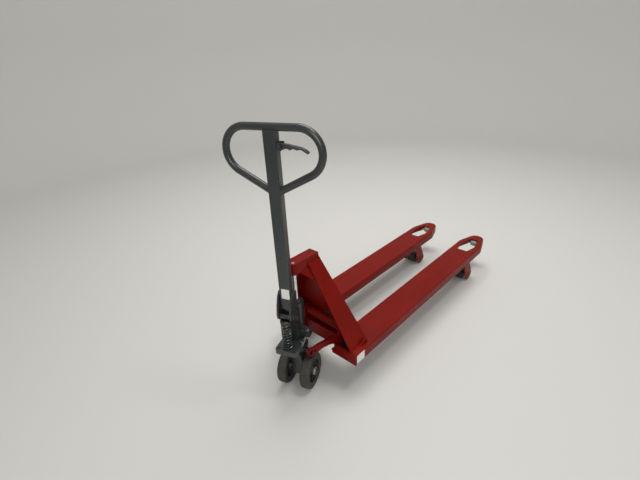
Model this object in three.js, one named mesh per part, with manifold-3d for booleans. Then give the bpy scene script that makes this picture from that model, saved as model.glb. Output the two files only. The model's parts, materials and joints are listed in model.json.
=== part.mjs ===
// Hand pallet jack, forks raised, drawbar upright and steering wheels turned.
// Millimetres, +Z up, +Y towards the fork tips, +X to the right as seen from the drawbar.
import * as THREE from 'three';
import { mergeVertices } from 'three/addons/utils/BufferGeometryUtils.js';
import Module from 'manifold-3d';

const wasm = await Module();
wasm.setup();

// ---------- driving dimensions ----------
const GAP = 0.3;                 // air between two pieces that touch

const FORK_SPREAD = 500;         // over both forks
const FORK_WIDTH = 150;
const FORK_TOP = 206;
const FORK_DEPTH = 50;
const FORK_WALL = 5;
const FORK_TIP_Y = 1444;
const FORK_TAPER_Y = 1310;       // where the nose begins to narrow
const FORK_NOSE_RADIUS = 47;
const FORK_CENTRE_X = (FORK_SPREAD - FORK_WIDTH) / 2;
const FORK_BOTTOM = FORK_TOP - FORK_DEPTH;
const FORK_INSIDE = FORK_WIDTH / 2 - FORK_WALL;

const HEEL_END_Y = 112;          // the fork's top plate starts behind the open heel
const HEEL_PLATE = 6;
const HEEL_BOTTOM = 150;
const HEEL_TOP = FORK_TOP - 1;   // the frame stands a little below the load face
const HEEL_STEP_Y = 122;
const HEEL_PLATE_INNER_X = 109;
const ARM_WINDOW_X = 123;        // the lifting arm swings through the heel up to here
const ARM_WINDOW_Y = 55;
const ARM_WINDOW_Z = 162;
const ARM_NOTCH_Z = 176;

const FRAME_BASE_Y = 119;        // back edge of the A-frame where it stands on the forks
const FRAME_TOP_Z = 623;         // where the legs meet the top box
const FRAME_TOP_FRONT_Y = -44;
const FRAME_TOP_BACK_Y = 26;
const LEG_BASE_X = 218.5;
const LEG_PLATE = 6;

const BOX_HALF = 25;             // top box over the ram, round at its front
const BOX_BACK_Y = 25;
const BOX_BOTTOM = 588;
const BOX_TOP = 642;

const STEER_Y = -105;            // steering axis, on the centre line
const STEER_ANGLE = THREE.MathUtils.degToRad(21);

const RAM_RADIUS = 14;
const RAM_BOTTOM = 420;

const ROCKER_Y = 70;             // cross tube that the lifting arms turn on
const ROCKER_Z = 252;
const ROCKER_TUBE_RADIUS = 21;
const ROCKER_SHAFT_RADIUS = 9;
const ROCKER_HALF_LENGTH = 172;
const ARM_ROOT_X = 118;
const ARM_EYE_X = 76;
const ARM_THICKNESS = 14;
const TRUNNION_Z = 203;
const TRUNNION_RADIUS = 9;
const CRANK_PIN_Y = 87;
const CRANK_PIN_Z = 201.5;
const CRANK_PIN_RADIUS = 6;

const BRACKET_PIVOT_Y = 1140;    // load roller bracket, swinging inside the fork
const BRACKET_PIVOT_Z = 160;
const BRACKET_PIN_RADIUS = 8;
const BRACKET_HALF = 58;
const BRACKET_PLATE = 6;
const BRACKET_CRANK_Y = 17;      // tie rod pin, from the bracket's pivot
const BRACKET_CRANK_Z = 27.1;
const BRACKET_CRANK_RADIUS = 4.5;
const ROLLER_RADIUS = 40;
const ROLLER_HALF = 28;
const ROLLER_Y = 56;             // load roller's axle, from the bracket's pivot
const ROLLER_Z = -120;
const ROLLER_AXLE_RADIUS = 8;

const ENTRY_ROLLER_Y = 1377;
const ENTRY_ROLLER_Z = 177;
const ENTRY_ROLLER_RADIUS = 19;

const WHEEL_RADIUS = 85;
const WHEEL_WIDTH = 45;
const WHEEL_GAP = 68;            // between the two steering wheels
const WHEEL_TRAIL = -22;
const WHEEL_AXLE_RADIUS = 10;
const HUB_RADIUS = 62;
const HUB_WINDOWS = 5;

const PUMP_BASE_Z = 255;
const PUMP_DECK_Z = 280;
const PUMP_TOP = 448;
const PUMP_RADIUS = 32;
const PLUNGER_V = -107;
const PLUNGER_RADIUS = 9;
const SPRING_TOP = 414;
const SPRING_RADIUS = 23.5;
const SPRING_BORE = 16.5;
const CAP_RADIUS = 24;
const PLUNGER_TOP = SPRING_TOP + 11.6;

const HANDLE_PIVOT_V = -71;
const HANDLE_PIVOT_Z = 416;
const HANDLE_PIN_RADIUS = 8;
const PRESSER_V = -103.4;        // roller on the drawbar that pushes the plunger down
const PRESSER_Z = HANDLE_PIVOT_Z + 23.5;
const PRESSER_RADIUS = 13;
const PRESSER_PIN_RADIUS = 6;
const CHEEK_INNER_U = 25;        // the drawbar's bracket
const CHEEK_OUTER_U = 33;
const STEM_V = -77;
const STEM_WIDTH = 48;
const STEM_DEPTH = 36;
const STEM_BOTTOM = 468;
const LOOP_TOP = 1202.7;         // centre line of the loop's top bar
const LOOP_TUBE = 14;
const LOOP_ARC = 85;
const LOOP_ARC_U = 100.8;
const LOOP_JOIN_Z = 975.4;
const LOOP_LEG_ANGLE = THREE.MathUtils.degToRad(29.1);
const TRIGGER_PIVOT_U = 33;
const TRIGGER_PIVOT_Z = 1140;
const TRIGGER_PIN_RADIUS = 3;

// ---------- materials ----------
const paint = (color, roughness, metalness) =>
  new THREE.MeshStandardMaterial({ color, roughness, metalness });
const RED = paint(0x7a2420, 0.45, 0.1);
const GREY = paint(0x444a4b, 0.45, 0.1);
const STEEL = paint(0x8d8f90, 0.4, 0.9);
const CHROME = paint(0xc9cccd, 0.12, 1);
const SPRING_STEEL = paint(0x77797a, 0.35, 0.9);
const TYRE = paint(0x45433f, 0.75, 0);
const HUB = paint(0x1c1d1e, 0.5, 0.1);
const ROLLER = paint(0x222224, 0.55, 0);
const NYLON = paint(0x8a8a82, 0.5, 0);

// ---------- solids ----------
function toSolid(geometry) {
  const bare = geometry.clone();
  bare.deleteAttribute('normal');
  bare.deleteAttribute('uv');
  const merged = mergeVertices(bare);
  const vertProperties = new Float32Array(merged.attributes.position.array);
  const triVerts = new Uint32Array(merged.index.array);
  return new wasm.Manifold(new wasm.Mesh({ numProp: 3, vertProperties, triVerts }));
}

function toGeometry(solid) {
  const mesh = solid.getMesh();
  const geometry = new THREE.BufferGeometry();
  geometry.setAttribute('position', new THREE.BufferAttribute(new Float32Array(mesh.vertProperties), 3));
  geometry.setIndex(new THREE.BufferAttribute(new Uint32Array(mesh.triVerts), 1));
  const faceted = geometry.toNonIndexed();
  faceted.computeVertexNormals();
  return faceted;
}

function join(...geometries) {
  return toGeometry(geometries.map(toSolid).reduce((sum, next) => sum.add(next)));
}

function cut(geometry, ...tools) {
  return toGeometry(tools.map(toSolid).reduce((sum, tool) => sum.subtract(tool), toSolid(geometry)));
}

// ---------- shapes ----------
function block(x0, x1, y0, y1, z0, z1) {
  return new THREE.BoxGeometry(x1 - x0, y1 - y0, z1 - z0)
    .translate((x0 + x1) / 2, (y0 + y1) / 2, (z0 + z1) / 2);
}

function cylinderZ(radius, z0, z1, x = 0, y = 0, sides = 24) {
  return new THREE.CylinderGeometry(radius, radius, z1 - z0, sides)
    .rotateX(Math.PI / 2)
    .translate(x, y, (z0 + z1) / 2);
}

function cylinderX(radius, x0, x1, y, z, sides = 16) {
  return new THREE.CylinderGeometry(radius, radius, x1 - x0, sides)
    .rotateZ(Math.PI / 2)
    .translate((x0 + x1) / 2, y, z);
}

// Lathe with its axis along X: points are [radius, x] and close on themselves.
function ringX(points, y, z, sides = 28) {
  const profile = [...points, points[0]].map(([radius, x]) => new THREE.Vector2(radius, x));
  return new THREE.LatheGeometry(profile, sides).rotateZ(-Math.PI / 2).translate(0, y, z);
}

function ringZ(points, x = 0, y = 0, sides = 24) {
  const profile = [...points, points[0]].map(([radius, z]) => new THREE.Vector2(radius, z));
  return new THREE.LatheGeometry(profile, sides).rotateX(Math.PI / 2).translate(x, y, 0);
}

// Polygon whose corners are rounded by the given radius.
function roundedShape(points, radius) {
  const shape = new THREE.Shape();
  const corners = points.map(([x, y]) => new THREE.Vector2(x, y));
  corners.forEach((corner, i) => {
    const before = corners[(i + corners.length - 1) % corners.length];
    const after = corners[(i + 1) % corners.length];
    const enter = corner.clone().add(before.clone().sub(corner).setLength(radius));
    const leave = corner.clone().add(after.clone().sub(corner).setLength(radius));
    if (i === 0) {
      shape.moveTo(enter.x, enter.y);
    } else {
      shape.lineTo(enter.x, enter.y);
    }
    shape.quadraticCurveTo(corner.x, corner.y, leave.x, leave.y);
  });
  shape.closePath();
  return shape;
}

function extrude(shape, depth, curveSegments = 6) {
  return new THREE.ExtrudeGeometry(shape, { depth, bevelEnabled: false, curveSegments, steps: 1 });
}

function polygon(points) {
  return new THREE.Shape(points.map(([x, y]) => new THREE.Vector2(x, y)));
}

// Outline drawn in (y, z), extruded along X from x0 to x1.
function profileX(shape, x0, x1, curveSegments) {
  const turn = new THREE.Matrix4().makeBasis(
    new THREE.Vector3(0, 1, 0), new THREE.Vector3(0, 0, 1), new THREE.Vector3(1, 0, 0));
  return extrude(shape, x1 - x0, curveSegments).applyMatrix4(turn).translate(x0, 0, 0);
}

// Outline drawn in (x, z), extruded along Y from y0 to y1.
function profileY(shape, y0, y1, curveSegments) {
  const turn = new THREE.Matrix4().makeBasis(
    new THREE.Vector3(1, 0, 0), new THREE.Vector3(0, 0, 1), new THREE.Vector3(0, -1, 0));
  return extrude(shape, y1 - y0, curveSegments).applyMatrix4(turn).translate(0, y1, 0);
}

// Outline drawn in (x, y), extruded up from z0 to z1.
function profileZ(shape, z0, z1, curveSegments) {
  return extrude(shape, z1 - z0, curveSegments).translate(0, 0, z0);
}

// Flat plate through corners given in space, thickened away from its face normal.
function cornerPlate(corners, thickness) {
  const [origin, second, third] = corners.map((corner) => new THREE.Vector3(...corner));
  const along = second.clone().sub(origin).normalize();
  const normal = along.clone().cross(third.clone().sub(origin)).normalize();
  const across = normal.clone().cross(along);
  const outline = corners.map((corner) => {
    const offset = new THREE.Vector3(...corner).sub(origin);
    return [offset.dot(along), offset.dot(across)];
  });
  const place = new THREE.Matrix4().makeBasis(along, across, normal).setPosition(origin);
  return extrude(polygon(outline), thickness).translate(0, 0, -thickness).applyMatrix4(place);
}

function mirrorX(geometry) {
  const bare = geometry.index ? geometry.toNonIndexed() : geometry.clone();
  bare.deleteAttribute('uv');
  bare.deleteAttribute('normal');
  const flipped = bare.scale(-1, 1, 1);
  const positions = flipped.attributes.position;
  const swap = new THREE.Vector3();
  const last = new THREE.Vector3();
  for (let i = 0; i < positions.count; i += 3) {
    swap.fromBufferAttribute(positions, i + 1);
    last.fromBufferAttribute(positions, i + 2);
    positions.setXYZ(i + 1, last.x, last.y, last.z);
    positions.setXYZ(i + 2, swap.x, swap.y, swap.z);
  }
  flipped.computeVertexNormals();
  return flipped;
}

function piece(group, name, geometry, material) {
  const mesh = new THREE.Mesh(geometry, material);
  mesh.name = name;
  group.add(mesh);
  return mesh;
}

const SIDES = [['left', -1], ['right', 1]];

// ---------- forks ----------
function forkOutline(inset) {
  const half = FORK_WIDTH / 2 - inset;
  const radius = FORK_NOSE_RADIUS - inset;
  const centreY = FORK_TIP_Y - FORK_NOSE_RADIUS;
  const tangent = THREE.MathUtils.degToRad(17);
  const shape = new THREE.Shape();
  shape.moveTo(-half, inset);
  shape.lineTo(half, inset);
  shape.lineTo(half, FORK_TAPER_Y);
  shape.absarc(0, centreY, radius, tangent, Math.PI - tangent, false);
  shape.lineTo(-half, FORK_TAPER_Y);
  shape.closePath();
  return shape;
}

function noseOpening() {
  const half = [[32, 1188], [47, 1262], [38, 1335], [22, 1372]];
  const mirrored = half.map(([x, y]) => [-x, y]).reverse();
  return roundedShape([...half, ...mirrored], 9);
}

function fork(side) {
  const channelTop = FORK_TOP - FORK_WALL;
  const body = profileZ(forkOutline(0), FORK_BOTTOM, FORK_TOP, 12);
  const channel = profileZ(forkOutline(FORK_WALL), FORK_BOTTOM - 1, channelTop, 12);
  const opening = profileZ(noseOpening(), channelTop - 1, FORK_TOP + 1, 5);
  const innerWallX = -side * FORK_INSIDE;
  const legFootX = side * (LEG_BASE_X - LEG_PLATE - FORK_CENTRE_X);
  const heelOpening = block(Math.min(innerWallX, legFootX), Math.max(innerWallX, legFootX),
    FORK_WALL, HEEL_END_Y, FORK_BOTTOM, FORK_TOP + 1);
  const windowEnds = [-side * (FORK_WIDTH / 2 + 1), side * (ARM_WINDOW_X - FORK_CENTRE_X)];
  const armWindow = block(Math.min(...windowEnds), Math.max(...windowEnds),
    -1, ARM_WINDOW_Y, ARM_WINDOW_Z, FORK_TOP + 1);
  const heelStep = block(-FORK_WIDTH, FORK_WIDTH, -1, HEEL_STEP_Y, HEEL_TOP, FORK_TOP + 1);
  return cut(body, channel, opening, heelOpening, armWindow, heelStep);
}

function addForks(chassis) {
  for (const [label, side] of SIDES) {
    const forkGroup = new THREE.Group();
    forkGroup.position.x = side * FORK_CENTRE_X;
    chassis.add(forkGroup);
    piece(forkGroup, `fork_${label}`, fork(side), RED);
    const inner = HEEL_PLATE_INNER_X - FORK_CENTRE_X;
    const outer = FORK_WIDTH / 2;
    const notch = ARM_WINDOW_X - FORK_CENTRE_X;
    const plate = cut(block(inner, outer, -HEEL_PLATE, -GAP, HEEL_BOTTOM, FORK_TOP - 2),
      block(inner - 1, notch, -HEEL_PLATE - 1, 1, ARM_NOTCH_Z, FORK_TOP));
    piece(forkGroup, `heel_plate_${label}`, side > 0 ? plate : mirrorX(plate), RED);
    const entryProfile = [[5 + GAP, -20], [16, -20], [ENTRY_ROLLER_RADIUS, -16],
      [ENTRY_ROLLER_RADIUS, 16], [16, 20], [5 + GAP, 20]];
    piece(forkGroup, `entry_roller_${label}`,
      ringX(entryProfile, ENTRY_ROLLER_Y, ENTRY_ROLLER_Z, 24), NYLON);
    const axleHalf = FORK_NOSE_RADIUS - 0.5;
    piece(forkGroup, `entry_axle_${label}`,
      cylinderX(5, -axleHalf, axleHalf, ENTRY_ROLLER_Y, ENTRY_ROLLER_Z, 16), STEEL);
    const pinHalf = FORK_INSIDE - GAP;
    piece(forkGroup, `bracket_pivot_pin_${label}`,
      cylinderX(BRACKET_PIN_RADIUS, -pinHalf, pinHalf, BRACKET_PIVOT_Y, BRACKET_PIVOT_Z), STEEL);
  }
}

// ---------- A-frame over the heel ----------
function legX(z) {
  const rise = (z - FORK_TOP) / (FRAME_TOP_Z - FORK_TOP);
  return LEG_BASE_X + rise * (BOX_HALF + GAP - LEG_BASE_X);
}

function bulkheadY(z) {
  const rise = (z - FORK_TOP) / (FRAME_TOP_Z - FORK_TOP);
  return FRAME_BASE_Y + rise * (FRAME_TOP_BACK_Y - FRAME_BASE_Y);
}

function addFrame(chassis) {
  const foot = HEEL_TOP + GAP;
  const legCorners = [
    [legX(foot), 0, foot],
    [legX(foot), bulkheadY(foot), foot],
    [legX(FRAME_TOP_Z), FRAME_TOP_BACK_Y, FRAME_TOP_Z],
    [legX(FRAME_TOP_Z), FRAME_TOP_FRONT_Y, FRAME_TOP_Z]];
  const boxRoom = block(-BOX_HALF - GAP, BOX_HALF + GAP, -200, 200, BOX_BOTTOM - GAP, BOX_TOP);
  const leg = cut(cornerPlate(legCorners, LEG_PLATE), boxRoom, block(-400, 400, -50, 200, foot - 60, foot));
  piece(chassis, 'leg_flange_right', leg, RED);
  piece(chassis, 'leg_flange_left', mirrorX(leg), RED);

  const inset = LEG_PLATE * 1.15 + GAP;
  const top = BOX_BOTTOM - 8;
  const plateCorners = [
    [-(legX(foot) - inset), bulkheadY(foot), foot],
    [-(legX(top) - inset), bulkheadY(top), top],
    [legX(top) - inset, bulkheadY(top), top],
    [legX(foot) - inset, bulkheadY(foot), foot]];
  const barEnd = FORK_CENTRE_X - FORK_WIDTH / 2 - GAP;
  const bulkhead = cut(cornerPlate(plateCorners, 5), block(-400, 400, 0, 200, foot - 60, foot));
  const apron = block(-barEnd, barEnd, FRAME_BASE_Y - 5, FRAME_BASE_Y, FORK_BOTTOM, foot + 4);
  const lowerFlange = block(-barEnd, barEnd, FRAME_BASE_Y - 33, FRAME_BASE_Y, FORK_BOTTOM, FORK_BOTTOM + 5);
  piece(chassis, 'bulkhead', join(bulkhead, apron, lowerFlange), RED);

  const boxShape = new THREE.Shape();
  boxShape.moveTo(-BOX_HALF, BOX_BACK_Y);
  boxShape.lineTo(-BOX_HALF, STEER_Y);
  boxShape.absarc(0, STEER_Y, BOX_HALF, Math.PI, 2 * Math.PI, false);
  boxShape.lineTo(BOX_HALF, BOX_BACK_Y);
  boxShape.closePath();
  const ramTop = BOX_TOP - 12;
  const ramSeat = cylinderZ(RAM_RADIUS + GAP, BOX_BOTTOM - 1, ramTop, 0, STEER_Y);
  piece(chassis, 'ram_head_box', cut(profileZ(boxShape, BOX_BOTTOM, BOX_TOP, 12), ramSeat), RED);

  const gussetCorners = [[BOX_HALF + 1, -88, 589], [56, -34, 538], [BOX_HALF + 3, -47, 600]];
  const gusset = cut(cornerPlate(gussetCorners, 4), boxRoom);
  piece(chassis, 'apex_gusset_right', gusset, RED);
  piece(chassis, 'apex_gusset_left', mirrorX(gusset), RED);

  piece(chassis, 'heel_cross_bar', block(-barEnd, barEnd, 32, 40, 158, 226), RED);

  const webShape = polygon([[50, foot], [110, foot], [99, foot + 27]]);
  const web = profileX(webShape, LEG_BASE_X + 3, LEG_BASE_X + 9);
  piece(chassis, 'heel_gusset_right', web, RED);
  piece(chassis, 'heel_gusset_left', mirrorX(web), RED);

  piece(chassis, 'ram', cylinderZ(RAM_RADIUS, RAM_BOTTOM, ramTop - GAP, 0, STEER_Y), CHROME);
  const shaftEnd = 176;
  piece(chassis, 'rocker_shaft',
    cylinderX(ROCKER_SHAFT_RADIUS, -shaftEnd, shaftEnd, ROCKER_Y, ROCKER_Z), STEEL);
}

// ---------- rocker: cross tube, lifting arms and cranks ----------
function armBlank() {
  const body = roundedShape([
    [96, 246], [84, 206], [66, 182], [43, 172], [24, 182], [8, 192.5], [-12, 199], [-48, 199],
    [-67, 196], [-80, 190.5], [-90, 185], [-112, 200], [-100, 221], [-74, 228], [-30, 231],
    [18, 224], [38, 226], [46, 262]], 5);
  const boss = new THREE.Shape();
  boss.absarc(ROCKER_Y, ROCKER_Z, 29, 0, 2 * Math.PI, false);
  const eye = new THREE.Shape();
  eye.absarc(STEER_Y, TRUNNION_Z, 22, 0, 2 * Math.PI, false);
  const half = ARM_THICKNESS / 2;
  return join(profileX(body, -half, half, 4), profileX(boss, -half, half, 10),
    profileX(eye, -half, half, 10));
}

function liftingArm() {
  const slope = (ARM_ROOT_X - ARM_EYE_X) / (ROCKER_Y - STEER_Y);
  const shear = new THREE.Matrix4().set(
    1, slope, 0, ARM_ROOT_X - slope * ROCKER_Y,
    0, 1, 0, 0,
    0, 0, 1, 0,
    0, 0, 0, 1);
  const reach = new THREE.Vector2(STEER_Y - ROCKER_Y, TRUNNION_Z - ROCKER_Z);
  const slotRadius = TRUNNION_RADIUS + 2;
  const slotAt = (length) => {
    const end = reach.clone().setLength(length);
    return cylinderX(slotRadius, 0, 200, ROCKER_Y + end.x, ROCKER_Z + end.y, 20);
  };
  const slot = [-7, -2.5, 2.5, 7].map((shift) => slotAt(reach.length() + shift));
  const blank = armBlank().applyMatrix4(shear);
  const tubeHole = cylinderX(ROCKER_TUBE_RADIUS + GAP, 0, 200, ROCKER_Y, ROCKER_Z);
  return cut(blank, tubeHole, ...slot);
}

function rockerCrank() {
  const shape = roundedShape([
    [96, 250], [100, 202], [94, 190], [80, 189], [74, 200], [44, 246], [50, 274], [88, 274]], 4);
  const blank = profileX(shape, 158, 168, 4);
  const tubeHole = cylinderX(ROCKER_TUBE_RADIUS + GAP, 150, 180, ROCKER_Y, ROCKER_Z);
  const pin = cylinderX(CRANK_PIN_RADIUS, 157, 184, CRANK_PIN_Y, CRANK_PIN_Z, 20);
  return join(cut(blank, tubeHole), pin);
}

function addRocker(rocker) {
  const tube = cylinderX(ROCKER_TUBE_RADIUS, -ROCKER_HALF_LENGTH, ROCKER_HALF_LENGTH, ROCKER_Y, ROCKER_Z);
  const bore = cylinderX(ROCKER_SHAFT_RADIUS + GAP, -200, 200, ROCKER_Y, ROCKER_Z);
  piece(rocker, 'torsion_tube', cut(tube, bore), RED);
  const arm = liftingArm();
  const crank = rockerCrank();
  piece(rocker, 'lifting_arm_right', arm, RED);
  piece(rocker, 'lifting_arm_left', mirrorX(arm), RED);
  piece(rocker, 'rocker_crank_right', crank, RED);
  piece(rocker, 'rocker_crank_left', mirrorX(crank), RED);
}

// ---------- tie rods inside the forks ----------
function tieRod() {
  const farY = BRACKET_PIVOT_Y + BRACKET_CRANK_Y;
  const farZ = BRACKET_PIVOT_Z + BRACKET_CRANK_Z;
  const half = 6;
  const bar = block(-half, half, CRANK_PIN_Y, farY, 178, 190);
  const lug = roundedShape([[76, 179], [99, 179], [99, 206], [93, 212], [81, 212], [76, 206]], 3);
  const heelEye = profileX(lug, -half, half, 3);
  const tipEye = block(-half, half, farY - 11, farY + 11, 176.5, 198);
  const heelHole = cylinderX(CRANK_PIN_RADIUS + GAP, -20, 20, CRANK_PIN_Y, CRANK_PIN_Z, 20);
  const tipSlot = block(-20, 20, farY - 5.4, farY + 5.4, farZ - 6, farZ + 12);
  return cut(join(bar, heelEye, tipEye), heelHole, tipSlot);
}

function addTieRods(jack) {
  for (const [label, side] of SIDES) {
    const rod = piece(jack, `tie_rod_${label}`, tieRod(), STEEL);
    rod.position.x = side * FORK_CENTRE_X;
  }
}

// ---------- load rollers on their swinging brackets ----------
function bracketPlate() {
  const arc = (radius, from, to, steps) => Array.from({ length: steps + 1 }, (_, i) => {
    const angle = THREE.MathUtils.degToRad(from + ((to - from) * i) / steps);
    return [ROLLER_Y + radius * Math.cos(angle), ROLLER_Z + radius * Math.sin(angle)];
  });
  const cheek = polygon([
    [-13, -6], ...arc(37, 210, 315, 7), ...arc(47, -44, -6, 4), ...arc(38, 0, 36, 3),
    [24, 29], [17, 34], [9, 33], [-4, 14], [-12, 6]]);
  const left = profileX(cheek, -BRACKET_HALF, -BRACKET_HALF + BRACKET_PLATE);
  const right = profileX(cheek, BRACKET_HALF - BRACKET_PLATE, BRACKET_HALF);
  const web = profileX(polygon([...arc(47, -44, -6, 6), ...arc(43, -6, -44, 6)]),
    -BRACKET_HALF + 1, BRACKET_HALF - 1);
  const through = BRACKET_HALF + 5;
  const crankPin = cylinderX(BRACKET_CRANK_RADIUS, -BRACKET_HALF - 1, BRACKET_HALF + 1,
    BRACKET_CRANK_Y, BRACKET_CRANK_Z, 16);
  return cut(join(left, right, web, crankPin),
    cylinderX(BRACKET_PIN_RADIUS + GAP, -through, through, 0, 0),
    cylinderX(ROLLER_AXLE_RADIUS + GAP, -through, through, ROLLER_Y, ROLLER_Z));
}

function addLoadRollers(jack) {
  const tread = [[ROLLER_AXLE_RADIUS + GAP, -ROLLER_HALF], [30, -ROLLER_HALF], [32, -ROLLER_HALF + 2],
    [37, -ROLLER_HALF + 2], [ROLLER_RADIUS, -ROLLER_HALF + 5], [ROLLER_RADIUS, ROLLER_HALF - 5],
    [37, ROLLER_HALF - 2], [32, ROLLER_HALF - 2], [30, ROLLER_HALF],
    [ROLLER_AXLE_RADIUS + GAP, ROLLER_HALF]];
  for (const [label, side] of SIDES) {
    const station = new THREE.Group();
    station.position.set(side * FORK_CENTRE_X, BRACKET_PIVOT_Y, BRACKET_PIVOT_Z);
    jack.add(station);
    piece(station, `roller_bracket_${label}`, bracketPlate(), RED);
    piece(station, `load_roller_axle_${label}`,
      cylinderX(ROLLER_AXLE_RADIUS, -BRACKET_HALF - 3, BRACKET_HALF + 3, ROLLER_Y, ROLLER_Z), STEEL);
    piece(station, `load_roller_${label}`, ringX(tread, ROLLER_Y, ROLLER_Z), ROLLER);
  }
}

// ---------- thrust block that carries the lifting arms ----------
function addThrustBlock(jack) {
  const base = new THREE.Group();
  base.position.y = STEER_Y;
  jack.add(base);
  const blank = ringZ([[20, 187], [37, 187], [40, 190], [40, 217], [37, 220], [20, 220]]);
  const trunnion = (x0, x1) => cylinderX(TRUNNION_RADIUS, x0, x1, 0, TRUNNION_Z, 20);
  piece(base, 'trunnion_block', join(blank, trunnion(29, 88), trunnion(-88, -29)), STEEL);
  piece(base, 'thrust_bearing', ringZ([[20, 220.3], [34, 220.3], [34, 231], [20, 231]]), STEEL);
}

// ---------- pump, turning with the steering wheels ----------
function pumpBody() {
  const deckShape = roundedShape([[-49, -139], [49, -139], [48, -70], [34, 36], [-34, 36], [-48, -70]], 9);
  const deck = profileZ(deckShape, PUMP_BASE_Z, PUMP_DECK_Z, 4);
  const tank = cylinderZ(PUMP_RADIUS, PUMP_DECK_Z - 1, PUMP_TOP, 0, 0, 28);
  const collar = cylinderZ(30, 231.3, PUMP_BASE_Z + 1);
  const glandTop = 330;
  const plungerGland = cylinderZ(15, PUMP_DECK_Z - 1, glandTop, 0, PLUNGER_V, 24);
  const ear = block(-24, 24, -86, -20, HANDLE_PIVOT_Z - 26, HANDLE_PIVOT_Z + 18);
  const riser = block(-24, 24, -60, -10, PUMP_DECK_Z - 1, HANDLE_PIVOT_Z - 24);
  const valveBoss = block(20, 68, -34, -4, 288, 314);
  const pocket = cylinderZ(RAM_RADIUS + GAP, 300, PUMP_TOP + 1);
  const plungerBore = cylinderZ(PLUNGER_RADIUS + GAP, 262, glandTop + 1, 0, PLUNGER_V, 24);
  const pinBore = cylinderX(HANDLE_PIN_RADIUS + GAP, -40, 40, HANDLE_PIVOT_V, HANDLE_PIVOT_Z);
  const capRoom = cylinderZ(CAP_RADIUS + 1, glandTop + 1, HANDLE_PIVOT_Z + 20, 0, PLUNGER_V, 24);
  return cut(join(deck, tank, collar, plungerGland, ear, riser, valveBoss),
    pocket, plungerBore, pinBore, capRoom);
}

function axleCarrier() {
  const shape = roundedShape([[-26, 64], [26, 64], [27, 150], [18, 184], [-18, 184], [-27, 150]], 8);
  const carrier = profileY(shape, WHEEL_TRAIL - 22, WHEEL_TRAIL + 34, 4);
  const kingpin = cylinderZ(18, 150, 231);
  const axleBore = cylinderX(WHEEL_AXLE_RADIUS + GAP, -40, 40, WHEEL_TRAIL, WHEEL_RADIUS);
  return cut(join(carrier, kingpin), axleBore);
}

function addPump(steering) {
  piece(steering, 'pump_body', pumpBody(), GREY);
  piece(steering, 'axle_carrier', axleCarrier(), GREY);
  const gland = [[RAM_RADIUS + GAP, PUMP_TOP + GAP], [25, PUMP_TOP + GAP], [25, PUMP_TOP + 7],
    [21, PUMP_TOP + 11], [RAM_RADIUS + GAP, PUMP_TOP + 11]];
  piece(steering, 'ram_gland_nut', ringZ(gland), GREY);
  piece(steering, 'pump_spring',
    ringZ([[SPRING_BORE, PUMP_DECK_Z + GAP], [SPRING_RADIUS, PUMP_DECK_Z + GAP],
      [SPRING_RADIUS, SPRING_TOP - GAP], [SPRING_BORE, SPRING_TOP - GAP]], 0, PLUNGER_V), SPRING_STEEL);
  piece(steering, 'handle_pivot_pin',
    cylinderX(HANDLE_PIN_RADIUS, -37, 37, HANDLE_PIVOT_V, HANDLE_PIVOT_Z), STEEL);
  piece(steering, 'valve_screw', cylinderZ(6, 314.3, 322, 53, -19, 6), CHROME);
  const lever = roundedShape([[34, 340], [60, 336], [68, 342], [60, 350], [34, 350]], 3);
  piece(steering, 'release_lever', profileY(lever, -42, -34, 3), GREY);
}

function addPlunger(steering) {
  const rod = cylinderZ(PLUNGER_RADIUS, 311, SPRING_TOP + 1, 0, PLUNGER_V, 24);
  const cap = ringZ([[0, SPRING_TOP], [CAP_RADIUS, SPRING_TOP], [CAP_RADIUS, SPRING_TOP + 7],
    [CAP_RADIUS - 5, PLUNGER_TOP], [0, PLUNGER_TOP]], 0, PLUNGER_V, 24);
  piece(steering, 'pump_plunger', join(rod, cap), STEEL);
}

// ---------- steering wheels ----------
function hub() {
  const half = WHEEL_WIDTH / 2;
  const rim = [[55, -half + 4], [HUB_RADIUS, -half + 2], [HUB_RADIUS, half - 2], [55, half - 4]];
  const disc = [[WHEEL_AXLE_RADIUS + GAP, -half + 1], [22, -half + 1], [24, -7], [57, -5],
    [57, 5], [24, 7], [22, half - 1], [WHEEL_AXLE_RADIUS + GAP, half - 1]];
  const windows = Array.from({ length: HUB_WINDOWS }, (_, i) => {
    const angle = (i * 2 * Math.PI) / HUB_WINDOWS;
    return cylinderX(11.5, -30, 30, 39.5 * Math.cos(angle), 39.5 * Math.sin(angle), 12);
  });
  return cut(join(ringX(rim, 0, 0), ringX(disc, 0, 0)), ...windows);
}

function tyre() {
  const half = WHEEL_WIDTH / 2;
  const bead = HUB_RADIUS + GAP;
  const shoulder = WHEEL_RADIUS - 3;
  return ringX([[bead, -half + 2], [shoulder - 7, -half], [shoulder, -half + 1], [WHEEL_RADIUS, -half + 5],
    [WHEEL_RADIUS, half - 5], [shoulder, half - 1], [shoulder - 7, half], [bead, half - 2]], 0, 0, 36);
}

function addWheels(steering) {
  const reach = WHEEL_GAP / 2 + WHEEL_WIDTH;
  piece(steering, 'wheel_axle',
    cylinderX(WHEEL_AXLE_RADIUS, -reach - 5, reach + 5, WHEEL_TRAIL, WHEEL_RADIUS), STEEL);
  for (const [label, side] of SIDES) {
    const wheel = new THREE.Group();
    wheel.position.set(side * (WHEEL_GAP + WHEEL_WIDTH) / 2, WHEEL_TRAIL, WHEEL_RADIUS);
    steering.add(wheel);
    piece(wheel, `steer_tyre_${label}`, tyre(), TYRE);
    piece(wheel, `steer_hub_${label}`, hub(), HUB);
    const capX = WHEEL_WIDTH / 2 - 1 + GAP;
    const cap = ringX([[WHEEL_AXLE_RADIUS + GAP, capX], [19, capX], [16, capX + 5],
      [WHEEL_AXLE_RADIUS + GAP, capX + 5]], 0, 0, 24);
    piece(wheel, `steer_bearing_${label}`, side > 0 ? cap : mirrorX(cap), STEEL);
  }
}

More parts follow.
